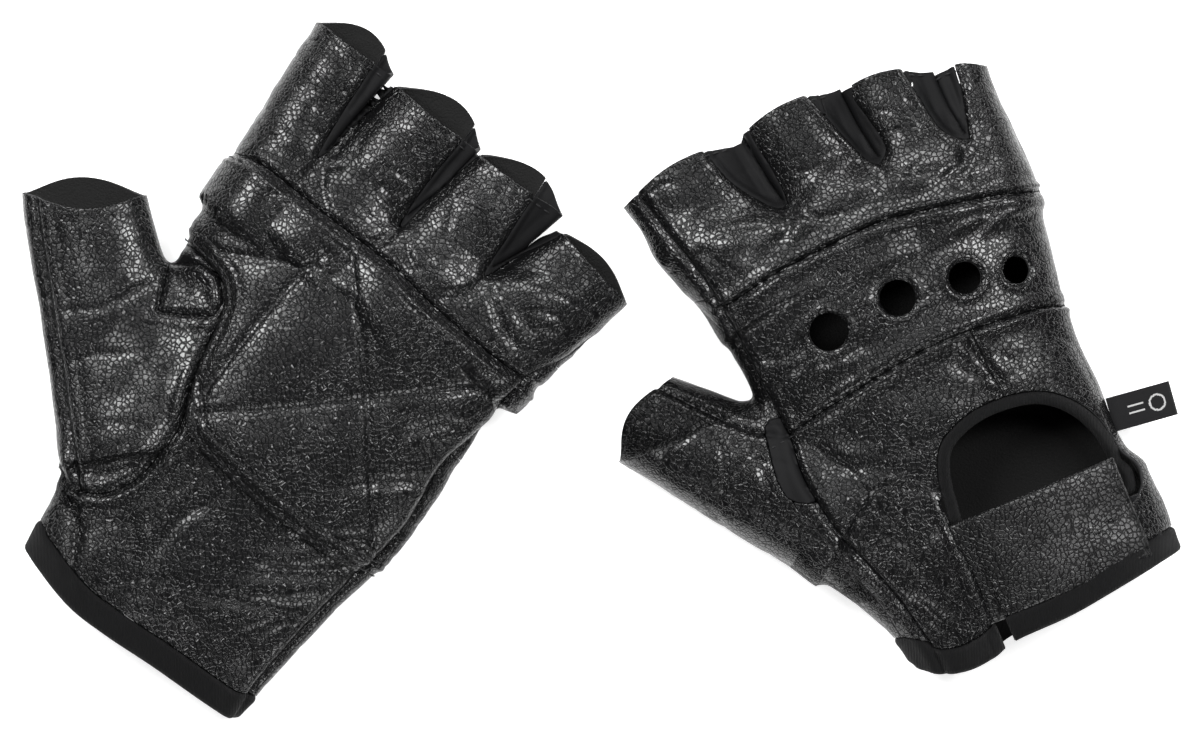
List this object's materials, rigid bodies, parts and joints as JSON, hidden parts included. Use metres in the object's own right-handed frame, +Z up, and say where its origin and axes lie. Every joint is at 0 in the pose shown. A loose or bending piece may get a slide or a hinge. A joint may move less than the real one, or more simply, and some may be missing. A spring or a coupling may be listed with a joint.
{
  "type": "fingerless gloves",
  "caption": "Black leather fingerless gloves with quilted palm patches, knuckle holes, a vent in the back and hook-and-loop wrist tabs; the left lies palm up, the right back up.",
  "frame": {"origin": "on the surface that the pair lies on, under the middle of the pair", "axes": "+X from the left glove to the right glove, +Y towards the fingertips, +Z up from the surface"},
  "size_m": [0.3478, 0.2116, 0.039],
  "materials": {
    "leather": "pebble-grained, glossy black",
    "stretch_fabric": "smooth matte black stretch knit",
    "edge_tape": "matte black ribbed binding",
    "padding": "soft foam, never seen",
    "loop_tape": "fuzzy black loop pile",
    "hook_tape": "black moulded hooks",
    "label_tape": "black woven ribbon with a plain light bar"
  },
  "bodies": {
    "left_glove": {"left_finger_front": "leather", "left_palm_panel": "leather", "left_thumb_front": "leather", "left_thumb_gusset": "leather", "left_finger_back": "leather", "left_knuckle_band": "leather", "left_back_thumb_panel": "leather", "left_back_little_panel": "leather", "left_thumb_back": "leather", "left_side_gusset": "stretch_fabric", "left_side_strip": "leather", "left_fourchette_1": "stretch_fabric", "left_fourchette_2": "stretch_fabric", "left_fourchette_3": "stretch_fabric", "left_vent_binding": "edge_tape", "left_cuff_binding": "edge_tape", "left_palm_pad": "padding", "left_palm_patch": "leather", "left_loop_patch": "loop_tape"},
    "right_glove": {"right_finger_front": "leather", "right_palm_panel": "leather", "right_thumb_front": "leather", "right_thumb_gusset": "leather", "right_finger_back": "leather", "right_knuckle_band": "leather", "right_back_thumb_panel": "leather", "right_back_little_panel": "leather", "right_thumb_back": "leather", "right_side_gusset": "stretch_fabric", "right_side_strip": "leather", "right_fourchette_1": "stretch_fabric", "right_fourchette_2": "stretch_fabric", "right_fourchette_3": "stretch_fabric", "right_vent_binding": "edge_tape", "right_cuff_binding": "edge_tape", "right_palm_pad": "padding", "right_palm_patch": "leather", "right_loop_patch": "loop_tape"},
    "left_tab": {"left_hook_patch": "hook_tape", "left_strap": "leather"},
    "right_tab": {"right_hook_patch": "hook_tape", "right_strap": "leather"},
    "label": {"right_label": "label_tape"}
  },
  "joints": [
    {"name": "right_lift", "type": "slide", "parent": "left_glove", "child": "right_glove", "axis": [0, 0, 1], "range_m": [0, 0.25]},
    {"name": "left_tab_hinge", "type": "hinge", "parent": "left_glove", "child": "left_tab", "pos_m": [-0.13126, -0.05529, 0.0016], "axis": [0.4894, 0.8721, 0], "range_deg": [0, 130]},
    {"name": "right_tab_hinge", "type": "hinge", "parent": "right_glove", "child": "right_tab", "pos_m": [0.11393, -0.0604, 0.0372], "axis": [0.3859, -0.9225, 0], "range_deg": [0, 130]},
    {"name": "label_flap", "type": "hinge", "parent": "right_glove", "child": "label", "pos_m": [0.15524, -0.01277, 0.01995], "axis": [-0.3859, 0.9225, 0], "range_deg": [-45, 45]}
  ]
}
